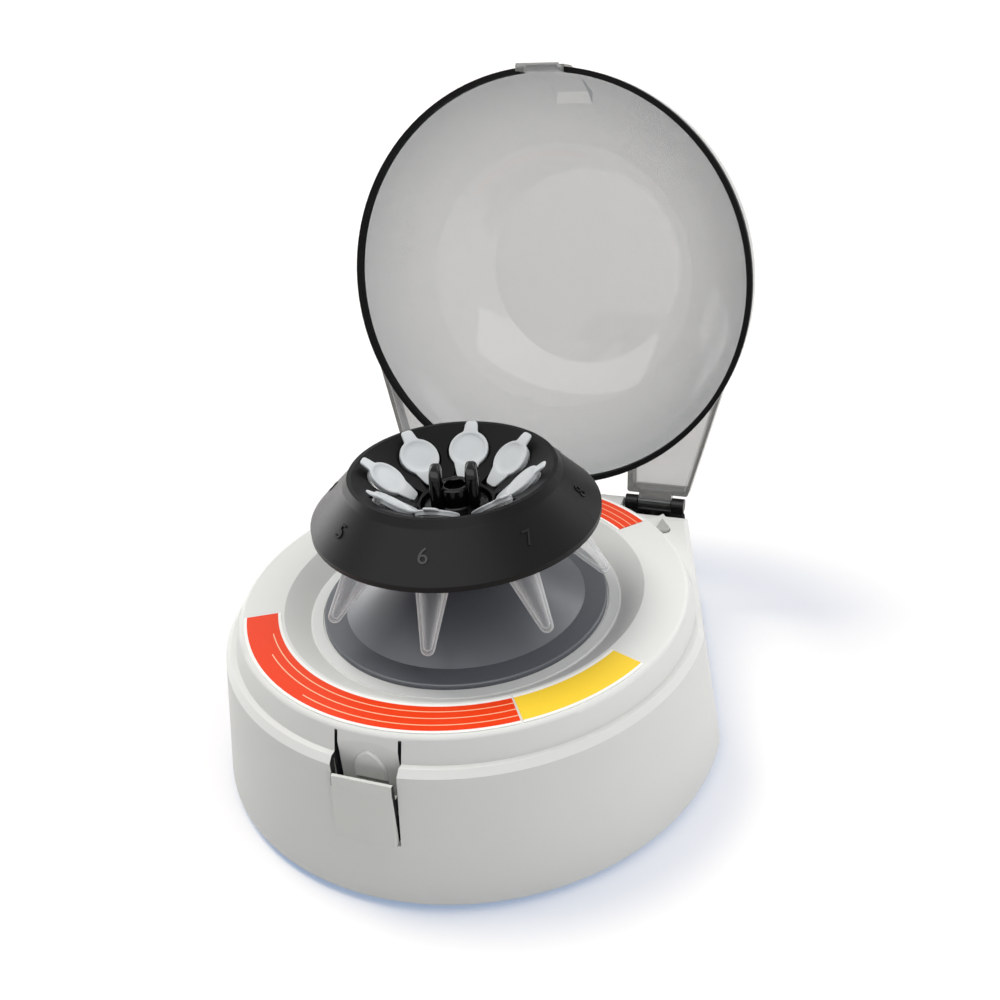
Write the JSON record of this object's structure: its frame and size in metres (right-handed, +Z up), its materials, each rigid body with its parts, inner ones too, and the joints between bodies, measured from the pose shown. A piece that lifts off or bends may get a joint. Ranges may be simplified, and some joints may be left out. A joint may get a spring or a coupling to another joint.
{
  "type": "mini centrifuge",
  "caption": "Round bench-top mini centrifuge with an open clear domed lid, a black angle rotor holding closed micro tubes, and a front latch.",
  "frame": {"origin": "where the drum's vertical axis, which is also the rotor's, meets the bench plane under the feet", "axes": "+Z up along the rotor's axis, -Y towards the front latch, +Y towards the hinge, +X to the right seen from the front"},
  "size_m": [0.163, 0.2378, 0.1955],
  "materials": {
    "housing": "fine matt grain",
    "cover": "fine matt grain",
    "underside": "fine matt grain",
    "liner": "satin, slate grey",
    "seal": "matt, near white",
    "red_film": "printed film",
    "yellow_film": "printed film",
    "black_plastic": "satin",
    "rotor": "satin black",
    "nut": "gloss black",
    "clear_lid": "clear, lightly smoked, polished",
    "black_rubber": "matt",
    "tube": "natural, translucent",
    "steel": "brushed",
    "zinc": "zinc plated",
    "aluminium": "turned",
    "copper": "bare copper",
    "bronze": "sintered",
    "magnet": "ferrite, dull",
    "carbon": "carbon, dull",
    "windings": "enamelled wire and iron stack",
    "board": "solder resist",
    "board_part": "moulded",
    "pale_plastic": "satin, pale grey",
    "lead": "insulated wire"
  },
  "bodies": {
    "base": {"base_shell": "housing", "top_cover": "cover", "bottom_plate": "underside", "rubber_feet": "black_rubber", "housing_screws": "zinc", "bowl_liner": "liner", "bowl_seal_ring": "seal", "front_band": "red_film", "side_band": "yellow_film", "rear_band": "red_film", "right_hinge_block": "black_plastic", "left_hinge_block": "black_plastic", "right_hinge_pin": "steel", "left_hinge_pin": "steel", "hinge_screws": "zinc", "latch_pivot_pin": "steel", "latch_spring": "steel", "lid_switch": "black_plastic", "lid_pin_spring": "steel", "motor_can": "steel", "motor_end_cap": "black_plastic", "motor_magnets": "magnet", "motor_brushes": "carbon", "upper_bearing": "bronze", "lower_bearing": "bronze", "motor_bracket": "aluminium", "vibration_dampers": "black_rubber", "motor_screws": "zinc", "circuit_board": "board", "board_parts": "board_part", "board_screws": "zinc", "motor_leads": "lead", "power_inlet": "black_plastic", "switch_frame": "black_plastic"},
    "latch_button": {"latch_button": "housing"},
    "lid_pin": {"lid_pin": "pale_plastic"},
    "rocker": {"rocker": "black_plastic"},
    "lid": {"lid_dome": "clear_lid", "lid_rim_seal": "black_rubber", "lid_catch": "clear_lid"},
    "rotor": {"rotor_body": "rotor", "rotor_hub_insert": "aluminium", "rotor_seat": "steel", "motor_shaft": "steel", "armature": "windings", "commutator": "copper", "tube_1": "tube", "tube_2": "tube", "tube_3": "tube", "tube_4": "tube", "tube_5": "tube", "tube_6": "tube", "tube_7": "tube", "tube_8": "tube"},
    "rotor_nut": {"rotor_nut": "nut"}
  },
  "joints": [
    {"name": "lid_hinge", "type": "hinge", "parent": "base", "child": "lid", "pos_m": [0, 0.078, 0.0433], "axis": [-1, 0, 0], "range_deg": [-100.3, 0]},
    {"name": "rotor_spin", "type": "hinge", "parent": "base", "child": "rotor", "pos_m": [0, 0, 0.0646], "axis": [0, 0, 1], "continuous": true},
    {"name": "rotor_nut_turn", "type": "hinge", "parent": "rotor", "child": "rotor_nut", "pos_m": [0, 0, 0.08], "axis": [0, 0, 1], "range_deg": [0, 810]},
    {"name": "latch_press", "type": "hinge", "parent": "base", "child": "latch_button", "pos_m": [0, -0.0746, 0.03], "axis": [1, 0, 0], "range_deg": [0, 8], "stiffness_Nm_per_rad": 0.2, "springref_deg": -6.88, "deforming": ["latch_spring"]},
    {"name": "lid_pin_press", "type": "slide", "parent": "base", "child": "lid_pin", "axis": [0, 0, -1], "range_m": [0, 0.001], "stiffness_N_per_m": 300, "springref_m": -0.001, "deforming": ["lid_pin_spring"]},
    {"name": "rocker_tilt", "type": "hinge", "parent": "base", "child": "rocker", "pos_m": [-0.026, 0.08358, 0.02], "axis": [1, 0, 0], "range_deg": [0, 18]}
  ]
}
